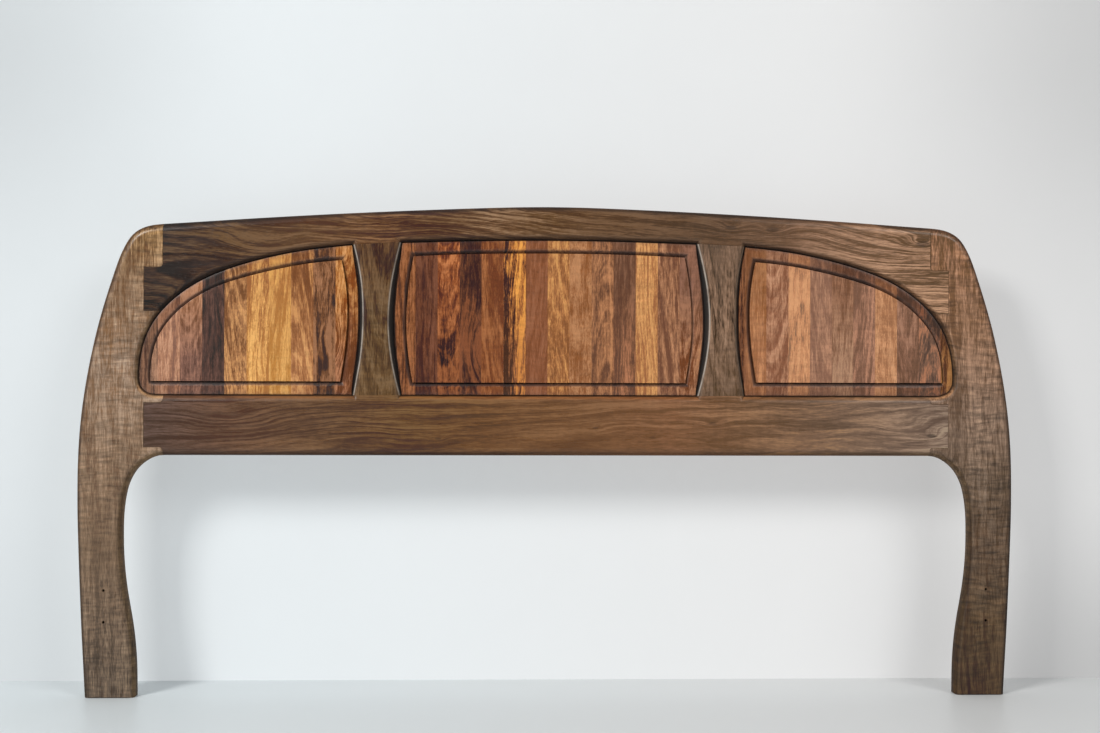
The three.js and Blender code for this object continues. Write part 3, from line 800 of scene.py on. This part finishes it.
        # noise that breaks up the painted highlight line
        line_breakup = N.noise(N.vec(X, Y, N.mul(Z, 20.0)), 2.0, 2.0, 0.6)
        keep = N.step(line_breakup, 0.3, 0.6, 0.55, 1.0)
        off = N.mul(N.sub(Z, 0.815), 1.0 / 0.165)
        swing = N.math("SUBTRACT", 1.0, N.mul(off, off), clamp=True)
        for sign, waist, shade, sharp in ((-1.0, arris[0], (0.44, 0.39, 0.34, 1.0), 1.0), (1.0, arris[1], (0.33, 0.285, 0.24, 1.0), arris[2])):
            n = N.mul(nx, sign)
            line = N.add(0.74, N.mul(swing, waist - 0.74))
            d = N.mul(N.sub(n, line), 1.0 / 0.085)
            on = N.math("EXPONENT", N.mul(N.mul(d, d), -1.0))
            # the painted shade outside the line, then the painted highlight on it
            col = N.mix(N.mul(N.step(N.sub(n, line), 0.05, 0.16), 0.4 + 0.53 * sharp), col, (0.010, 0.008, 0.007, 1.0))
            col = N.mix(N.mul(N.mul(on, keep), 0.85 * sharp), col, shade)
    if groove:  # painted shade in the groove round the raised field: darker and rougher there, least where the roll faces left, towards the key light
        geo = N.t.nodes.new("ShaderNodeNewGeometry")
        nx = N.split(geo.outputs["Normal"])[0]
        top_of_roll = N.step(nx, -0.35, -0.12, -0.0122, -0.0130)
        deep = N.mul(N.mul(N.step(Y, top_of_roll, N.add(top_of_roll, 0.0018)), N.step(Y, -0.0055, -0.0065)), groove)
        deep = N.mul(deep, N.step(nx, -0.35, -0.12, 0.45, 1.0))
        col = N.mix(deep, col, N.mix(1.0, col, (0.16, 0.13, 0.12, 1.0), "MULTIPLY"))
    if ledge:  # the band outside the groove is painted darker and redder than the field; towards the arch the darkening grows, painted shadow under the frame's edge
        band = N.mul(N.step(Y, -0.0144, -0.0137), ledge)
        arch = N.step(N.add(Z, N.mul(N.math("ABSOLUTE", X), 0.55)), 1.22, 1.31)
        band = N.mul(band, N.add(0.62, N.mul(arch, 0.38)))
        col = N.mix(band, col, N.mix(1.0, col, (0.36, 0.27, 0.21, 1.0), "MULTIPLY"))
    bs = N.t.nodes.new("ShaderNodeBsdfPrincipled")
    N.link(col, bs.inputs["Base Color"])
    rn = N.noise(N.vec(N.mul(gs, 9.0), N.mul(a, 60.0), N.mul(Y, 60.0)), 1.0, 3.0, 0.6)
    rv = N.step(N.add(N.mul(rn, 0.7), N.mul(f1, 0.3)), 0.3, 0.7, rough[0], rough[1])
    if edge_shade_and_rough is not None:
        rv = N.add(rv, N.mul(edge_shade_and_rough, 0.5))
    if groove:
        rv = N.add(rv, N.mul(deep, 0.35))
    N.link(rv, bs.inputs["Roughness"])
    bs.inputs["IOR"].default_value = 1.42
    bs.inputs["Coat Weight"].default_value = 0.05 if groove else 0.0
    bs.inputs["Coat Roughness"].default_value = 0.18
    # relief: fibres, soft earlywood, pores, and the slight unevenness of a scraped surface
    height = N.add(N.mul(f2, 0.30), N.add(N.mul(late, 0.15), N.mul(f1, 0.25)))
    if pm is not None:
        height = N.sub(height, N.mul(pm, 0.5))
    if bright is not None:
        height = N.add(height, N.mul(bright, 0.8))
    height = N.add(height, N.mul(rn, 0.5))
    b = N.t.nodes.new("ShaderNodeBump")
    b.inputs["Strength"].default_value = bump
    b.inputs["Distance"].default_value = 0.0006
    N.link(height, b.inputs["Height"])
    N.link(b.outputs[0], bs.inputs["Normal"])
    out = N.t.nodes.new("ShaderNodeOutputMaterial")
    N.t.links.new(bs.outputs[0], out.inputs[0])
    return mat, slot


MATS = {}
# painted shade: both posts' tones grow darker towards the floor, following the light that falls off low down
MATS["left_post"] = wood(
    "walnut_left_post", "left_post_walnut", "Z", (0.0, 1.02, -0.94),
    [(0, "52453b"), (0.15, "5b4c40"), (0.32, "6d5847"), (0.5, "745c4a"), (0.7, "80644e"), (0.88, "765a44"), (1, "66492f")],
    [(0, "62554a"), (0.15, "715d4d"), (0.32, "77614e"), (0.5, "866e59"), (0.7, "907764"), (0.88, "866b54"), (1, "86653f")],
    [(0, "786655"), (0.15, "816d5b"), (0.32, "826b57"), (0.5, "947a65"), (0.7, "a08874"), (0.88, "967b62"), (1, "a8845c")],
    seed=1.0, pith=(0.10, 0.35), pith_drift=0.03, ring=0.0045, ring_dark=0.12, wander=0.004, streak=0.35, streak_freq=9, fine=0.8, fibre=1.6,
    pores=0.8, curl=0.95, curl_size=0.0065, edge=1.0,
    patch=((0.97, -0.838, 0.05, 0.008, 0.5), (0.648, -0.845, 0.010, 0.02, 0.5), (0.53, -0.85, 0.014, 0.02, 0.3)),
    knots=((0.245, -0.960, 0.010, 0.006, 0.55), (0.165, -0.956, 0.012, 0.006, 0.0)))
MATS["right_post"] = wood(
    "walnut_right_post", "right_post_walnut", "Z", (0.0, 1.02, 0.94),
    [(0, "3c2c20"), (0.15, "4a3829"), (0.32, "554234"), (0.45, "5a4a3d"), (0.6, "6f594a"), (0.8, "7c5c46"), (1, "7a583f")],
    [(0, "4a392b"), (0.15, "564433"), (0.32, "624f41"), (0.45, "6c594a"), (0.6, "866e5e"), (0.8, "98745b"), (1, "a07357")],
    [(0, "5a4735"), (0.15, "624f3d"), (0.32, "6f5c4d"), (0.45, "7d6a5b"), (0.6, "9a7f6b"), (0.8, "ad846a"), (1, "ba8b6d")],
    seed=2.0, pith=(-0.12, 0.30), pith_drift=0.04, ring=0.005, ring_dark=0.12, wander=0.005, streak=0.45, streak_freq=9, fine=0.9, fibre=1.4,
    pores=0.7, curl=1.15, curl_size=0.0075, edge=1.0)
MATS["top_rail"] = wood(
    "walnut_top_rail", "top_rail_walnut", "X", (-0.87, 0.87, 0.99),
    [(0, "2e241b"), (0.09, "38291c"), (0.2, "563b27"), (0.3, "503629"), (0.36, "4c3322"), (0.43, "573e2a"), (0.55, "5a412f"), (0.7, "554133"), (0.8, "644b3a"), (0.92, "7a5c46"), (1, "705540")],
    [(0, "423227"), (0.09, "443224"), (0.2, "60452f"), (0.3, "684933"), (0.36, "5d422e"), (0.43, "6e503a"), (0.5, "644932"), (0.6, "725640"), (0.7, "654c3b"), (0.8, "6f5340"), (0.92, "a07b62"), (1, "9c775d")],
    [(0, "574537"), (0.09, "604834"), (0.2, "755841"), (0.3, "856145"), (0.36, "73573e"), (0.43, "937459"), (0.55, "755842"), (0.7, "6e5542"), (0.8, "846450"), (0.92, "be9476"), (1, "bc9274")],
    seed=3.0, pith=(-0.16, 0.08), pith_drift=0.10, pith_tilt=0.03, ring=0.007, ring_dark=0.30, wander=0.012, streak=0.75, streak_freq=13, fine=1.35, fibre=1.0,
    pores=0.5, curl=0.16, edge=1.0,
    knots=((-0.62, 0.975, 0.030, 0.025, 0.0), (-0.24, 1.00, 0.05, -0.015, 0.0), (0.395, 1.018, 0.014, 0.014, 0.5), (0.485, 1.014, 0.016, 0.014, 0.5), (0.815, 0.985, 0.018, 0.02, 0.6),
           (0.73, 0.96, 0.05, 0.02, 0.0)),
    patch=((-0.665, 1.000, 0.05, 0.010, 0.6), (-0.62, 0.965, 0.12, 0.006, 0.4), (-0.45, 1.015, 0.10, 0.005, 0.6), (-0.1, 1.03, 0.10, 0.006, 0.4)))
MATS["bottom_rail"] = wood(
    "walnut_bottom_rail", "bottom_rail_walnut", "X", (-0.87, 0.87, 0.586),
    [(0, "48372f"), (0.1, "52392e"), (0.22, "543d30"), (0.32, "53392a"), (0.42, "5c412d"), (0.55, "6c4b34"), (0.65, "725038"), (0.75, "6b4f3a"), (0.85, "6a5343"), (0.95, "715c4f"), (1, "6c584c")],
    [(0, "55423a"), (0.1, "5d4537"), (0.22, "654a37"), (0.32, "64472f"), (0.42, "6b4a32"), (0.55, "77543a"), (0.65, "805940"), (0.75, "7b5b44"), (0.85, "7d6250"), (0.95, "836b5a"), (1, "846e60")],
    [(0, "64504a"), (0.1, "6d503f"), (0.22, "75573f"), (0.32, "75573a"), (0.42, "7a573a"), (0.55, "845f43"), (0.65, "8e664a"), (0.75, "936e52"), (0.85, "967458"), (0.95, "9b806c"), (1, "a08a76")],
    seed=4.0, pith=(-0.045, 0.03), pith_drift=-0.03, pith_tilt=0.018, ring=0.008, ring_dark=0.30, wander=0.014, streak=0.6, streak_freq=11, fine=1.2, fibre=0.9,
    pores=0.5, curl=0.14, edge=1.0,
    knots=((0.79, 0.578, 0.035, 0.025, 0.0), (0.355, 0.592, 0.010, 0.010, 0.35), (0.10, 0.582, 0.007, 0.008, 0.4), (0.225, 0.562, 0.007, 0.008, 0.4), (-0.24, 0.558, 0.008, 0.008, 0.4),
           (-0.68, 0.60, 0.04, 0.02, 0.0), (0.835, 0.566, 0.012, 0.014, 0.7), (-0.42, 0.565, 0.05, -0.015, 0.0)),
    patch=((-0.57, 0.645, 0.10, 0.006, 0.7), (-0.17, 0.642, 0.16, 0.007, 0.7), (0.22, 0.628, 0.22, 0.006, 0.5), (0.42, 0.606, 0.05, 0.006, 0.6), (0.74, 0.60, 0.07, 0.014, 0.3)))
for side_name, s, t in (("left", -1, 0), ("right", 1, 1)):
    MATS[side_name + "_divider"] = wood(
        "walnut_%s_divider" % side_name, "divider_walnut", "Z", (0.65, 0.985, s * 0.374),
        [(0, ["57412a", "594534"][t]), (0.5, ["493422", "564335"][t]), (1, ["453020", "56463a"][t])],
        [(0, ["654c34", "6b5443"][t]), (0.5, ["614932", "866955"][t]), (1, ["5a402a", "6a5445"][t])],
        [(0, ["745a40", "7c6351"][t]), (0.5, ["725a42", "a3836c"][t]), (1, ["6b4e37", "836856"][t])],
        seed=5.0 + t, pith=(0.02, 0.06), pith_tilt=0.10, ring=0.006, ring_dark=0.2, wander=0.005, streak=[0.45, 0.3][t], streak_freq=14, fine=[0.8, 0.55][t], fibre=[1.4, 1.1][t], pores=0.7, curl=0.45, edge=1.0, arris=[(0.52, 0.34, 1.0), (0.34, 0.62, 0.3)][t],
        patch=[(), ((0.82, 0.386, 0.07, 0.006, 0.35), (0.80, 0.360, 0.09, 0.006, -0.15))][t])


# One set of three tones for each board, dark, middle and light, with a second set where its lower end differs, and how it is figured.
def two(low, high):
    return tuple([(0.25, a), (0.7, b)] for a, b in zip(low, high))


BOARDS = {
    "left_panel": [
        (("64493e", "795c4d", "98725c"), dict(fleck=0.5)),
        (("8e6654", "a97a60", "c29276"), dict(fleck=0.5, bias=0.08)),
        (two(("64483f", "7c5a4e", "956c5b"), ("875a3e", "a17051", "b78566")), dict(streak=0.8)),
        (("3f3533", "513d38", "654a42"), dict(streak=1.0)),
        (("83593c", "a3734e", "c28d5d"), dict(mottle=0.7, fleck=0.8, streak=0.8)),
        (two(("b57d48", "d0975a", "e5ad69"), ("a16c43", "bf8852", "d79f61")), dict(mottle=0.5, fleck=0.8, curl=0.2, bias=-0.3)),
        (two(("bb8449", "ce985a", "dca563"), ("aa7343", "be864f", "d09959")), dict(mottle=0.4, fleck=0.5, ring_dark=0.5)),
        (two(("986543", "b17a51", "ca9362"), ("7e5135", "976542", "b98252")), dict(streak=0.9, fleck=0.5, bias=-0.15)),
        (("4f3830", "6e4933", "92664a"), dict(streak=1.2, mottle=0.9, ring_dark=0.4, bias=-0.10, knots=((0.775, -0.488, 0.012, 0.010, 0.0), (0.70, -0.48, 0.010, -0.008, 0.0)), patch=((0.79, -0.500, 0.035, 0.0045, -0.9), (0.755, -0.484, 0.045, 0.0040, -1.0), (0.70, -0.497, 0.035, 0.0050, -0.8), (0.80, -0.490, 0.030, 0.0030, 0.4)))),
        (two(("74472f", "8c5b40", "ad7656"), ("93592f", "bb7f49", "cf945f")), dict(streak=1.0, mottle=0.8, ring_dark=0.4, bias=-0.05, knots=((0.77, -0.462, 0.020, -0.025, 0.0),)))],
    "center_panel": [
        (("5c3a27", "774930", "966040"), dict(streak=1.1)),
        (("4f3125", "633d2d", "734938"), dict(streak=1.0, mottle=0.6)),
        (two(("4a3025", "794831", "92593a"), ("6c3c28", "8e5233", "b57148")), dict(streak=1.4, mottle=0.9, bias=-0.12)),
        (("462d22", "5b3a2b", "7b4b35"), dict(streak=1.2, mottle=1.0, bias=0.38, knots=((0.75, -0.16, 0.030, 0.03, 0.0),))),
        (("74442d", "885335", "9c6340"), dict(streak=1.2, mottle=0.8)),
        (two(("5e3d2b", "88563b", "bf7c45"), ("68402f", "ae6d3d", "db954c")), dict(streak=0.8, mottle=0.8, bias=-0.25, bands=((0.012, 0.010, 0.35), (-0.014, 0.009, -0.35)))),
        (("7e4e36", "88563d", "925f45"), dict(streak=0.6, fleck=0.3)),
        (("905e3c", "ad7449", "c88e58"), dict(mottle=0.7, streak=0.8, fleck=0.7)),
        (("8d5b3b", "9e6b49", "b07c57"), dict(mottle=0.8, fleck=1.0, bias=-0.1)),
        (("77513d", "946548", "b07a56"), dict(streak=0.7, bands=((0.020, 0.002, 0.6),))),
        (two(("6f4c3c", "865b43", "a87153"), ("644436", "6e4c3b", "805a46")), dict(streak=0.9, mottle=0.5)),
        (("a66f49", "bd8454", "d19761"), dict(mottle=0.5, fleck=0.8)),
        (("7c5440", "996b4f", "b58160"), dict(streak=0.8, fleck=0.5)),
        (two(("7d4f37", "9e6d51", "b6815d"), ("73503f", "7f5948", "8c6351")), dict(streak=0.7, bias=0.10))],
    "right_panel": [
        (("5c3a28", "8a5a40", "aa7450"), dict(streak=0.8)),
        (two(("a26d4c", "af7856", "c78b62"), ("8e5c3b", "9c6948", "a87450")), dict(streak=0.6, fleck=0.4, bias=0.07)),
        (("8e6049", "a6765b", "bc8a6c"), dict(streak=0.9, fleck=0.5, bias=0.20)),
        (("9c7257", "c18762", "d1976e"), dict(mottle=0.5, fleck=0.5)),
        (("8e6754", "9b725c", "b08268"), dict(streak=0.7, mottle=0.5)),
        (two(("8b654f", "9c755e", "af866b"), ("78533f", "855d48", "966c54")), dict(mottle=0.8, bias=0.12)),
        (("825e4c", "936b57", "b07f66"), dict(streak=0.8, mottle=0.5)),
        (("aa7756", "bd8762", "cd966f"), dict(mottle=0.7, fleck=0.7, bias=0.15)),
        (("745443", "88624f", "a07660"), dict(streak=0.8, bias=0.12)),
        (("654d42", "805f4e", "a87459"), dict(mottle=0.5)),
        (("7a5034", "a87448", "c89058"), dict(streak=0.7))]}
SLOTS = {m["node"]: m["material_slot"] for m in frame["record"]["subparts"]}
for key, rows in BOARDS.items():
    for i, ((d, m, l), opts) in enumerate(rows):
        n = "%s_stave_%02d" % (key, i + 1)
        lo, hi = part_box(n)
        o = dict(pith=(((i * 37) % 17 - 8) * 0.006, 0.03 + ((i * 53) % 11) * 0.006), pith_drift=((i * 29) % 13 - 6) * 0.006,
                 pith_tilt=((i * 31) % 9 - 4) * 0.02, ring=0.004 + ((i * 7) % 5) * 0.0006, ring_dark=0.2, wander=0.009, streak=0.9, streak_freq=24,
                 fine=1.25, fibre=1.25, pores=0.6, curl=0.32, curl_size=0.007, fleck=0.5, mottle=0.45, rough=(0.20, 0.32), groove=0.92)
        o["ledge"] = {"left_panel": 0.75 if i < 2 else 0.25, "center_panel": 0.0, "right_panel": 0.85}[key]
        o.update(opts)
        MATS[n] = wood("board_%s" % n, SLOTS[n], "Z", (0.64, 1.0, (lo[0] + hi[0]) / 2), d, m, l,
                       seed=10.0 + i * 1.7 + {"left_panel": 0, "center_panel": 31, "right_panel": 67}[key], **o)

for node, ob in pieces.items():
    mat, slot = MATS[node]
    ob.data.materials.clear()
    ob.data.materials.append(mat)
    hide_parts(node)
    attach(ob, "root")

tenon_mat, _ = wood("tenon_maple", "tenon_maple", "X", (-0.95, 0.95, 0.8), "a8865a", "c9a877", "dcc094", seed=90.0, pith=(0.0, 0.2), ring=0.004,
                    ring_dark=0.2, wander=0.004, streak=0.5, pores=0.2, rough=(0.55, 0.7))
for name, node in frame["nodes"].items():
    if name.endswith("_tenon"):
        node.data.materials.clear()
        node.data.materials.append(tenon_mat)


# ------------------------------------------------------------------ floor, wall, light, camera
def plain(name, rgb, rough, scale=6.0, amount=0.02, glow=0.0, falloff=0.0):
    mat = bpy.data.materials.new(name)
    mat.use_nodes = True
    N = Nodes(mat)
    tc = N.t.nodes.new("ShaderNodeTexCoord")
    n = N.noise(tc.outputs["Object"], scale, 3.0, 0.5)
    k = N.add(1.0 - amount / 2, N.mul(n, amount))
    X, Y, Z = N.split(tc.outputs["Object"])
    if falloff:  # painted shade: the backdrop is a little darker away from the middle, most low on the right
        side = N.step(N.math("ABSOLUTE", X), 0.55, 1.35, 0.0, 1.0)
        high = N.step(Z, 0.75, 1.45, 0.0, 1.0)
        low = N.mul(N.step(Z, 0.45, 0.0, 0.0, 1.0), N.step(X, 0.2, 1.2, 0.25, 1.0))
        k = N.mul(k, N.sub(1.0, N.mul(N.add(N.mul(side, N.add(0.55, N.add(N.mul(high, 0.45), N.mul(low, 0.9)))), N.mul(high, 0.25)), falloff)))
    # painted light: floor and backdrop are a little cooler and bluer on the left, as under the light from that side
    cool = N.step(X, 0.9, -0.9, 0.0, 1.0)
    tint = N.mix(cool, (1.0, 0.995, 0.99, 1.0), (0.955, 1.0, 1.02, 1.0))
    col = N.mix(1.0, N.mix(1.0, (*rgb, 1.0), tint, "MULTIPLY"), N.vec(k, k, k), "MULTIPLY")
    bs = N.t.nodes.new("ShaderNodeBsdfPrincipled")
    N.link(col, bs.inputs["Base Color"])
    bs.inputs["Roughness"].default_value = rough
    # the backdrop glows though it is no lamp: painted light that lifts the shadows on it and lights the board's back
    if glow:
        N.link(N.mix(1.0, tint, N.vec(k, k, k), "MULTIPLY"), bs.inputs["Emission Color"])
        bs.inputs["Emission Strength"].default_value = glow
    out = N.t.nodes.new("ShaderNodeOutputMaterial")
    if falloff:  # the backdrop has a front only, so that the board's back can be seen from behind it
        geo = N.t.nodes.new("ShaderNodeNewGeometry")
        clear = N.t.nodes.new("ShaderNodeBsdfTransparent")
        side_mix = N.t.nodes.new("ShaderNodeMixShader")
        N.t.links.new(geo.outputs["Backfacing"], side_mix.inputs[0])
        N.t.links.new(bs.outputs[0], side_mix.inputs[1])
        N.t.links.new(clear.outputs[0], side_mix.inputs[2])
        N.t.links.new(side_mix.outputs[0], out.inputs[0])
    else:
        N.t.links.new(bs.outputs[0], out.inputs[0])
    return mat


def plane(name, pts, mat):
    ob = new_object(name, pts, [(0, 1, 2, 3)])
    ob.data.materials.append(mat)
    return ob


WALL_Y = 0.16
plane("floor", [(-7, -8, 0), (7, -8, 0), (7, 8, 0), (-7, 8, 0)], plain("floor_white", (0.69, 0.705, 0.71), 0.42))
# the wall glows (painted light) and is painted darker away from the middle (painted shade)
plane("wall", [(-6, WALL_Y, 0), (6, WALL_Y, 0), (6, WALL_Y, 4.5), (-6, WALL_Y, 4.5)], plain("wall_white", (0.43, 0.435, 0.44), 0.9, glow=0.40, falloff=0.24))


def area_light(name, at, target, size, power, color=(1, 1, 1)):
    d = bpy.data.lights.new(name, "AREA")
    d.shape = "RECTANGLE"
    d.size, d.size_y = size
    d.energy = power
    d.color = color
    ob = bpy.data.objects.new(name, d)
    ob.location = at
    ob.rotation_euler = (Vector(target) - Vector(at)).to_track_quat("-Z", "Y").to_euler()
    bpy.context.scene.collection.objects.link(ob)
    return ob


area_light("key", (-3.7, -4.1, 3.6), (-0.2, 0, 0.6), (1.5, 1.5), 258, (1.0, 0.985, 0.96))
area_light("fill", (3.4, -4.4, 3.8), (0.2, 0, 0.6), (2.2, 2.2), 122, (1.0, 0.99, 0.98))
area_light("side", (-4.6, -1.3, 1.3), (-0.2, 0, 0.8), (0.5, 1.4), 12, (0.96, 0.98, 1.0))

world = bpy.data.worlds.new("studio")
bpy.context.scene.world = world
world.use_nodes = True
world.node_tree.nodes["Background"].inputs[0].default_value = (0.92, 0.97, 1.0, 1)
world.node_tree.nodes["Background"].inputs[1].default_value = 0.26

cam_data = bpy.data.cameras.new("camera")
cam_data.lens, cam_data.sensor_width = 50.0, 36.0
cam = bpy.data.objects.new("camera", cam_data)
bpy.context.scene.collection.objects.link(cam)
psi, rho = math.radians(1.8056), math.radians(0.1768)
fwd = Vector((math.sin(psi), math.cos(psi), 0))
right = Vector((math.cos(psi), -math.sin(psi), 0))
up = Vector((0, 0, 1))
right2 = right * math.cos(rho) + up * math.sin(rho)
up2 = up * math.cos(rho) - right * math.sin(rho)
rot = Matrix((right2, up2, -fwd)).transposed()
cam.matrix_world = Matrix.Translation(Vector((-0.1028, -0.022 - 3.3073, 0.7151))) @ rot.to_4x4()
bpy.context.scene.camera = cam

scene = bpy.context.scene
scene.view_settings.view_transform = "Standard"
scene.view_settings.look = "None"
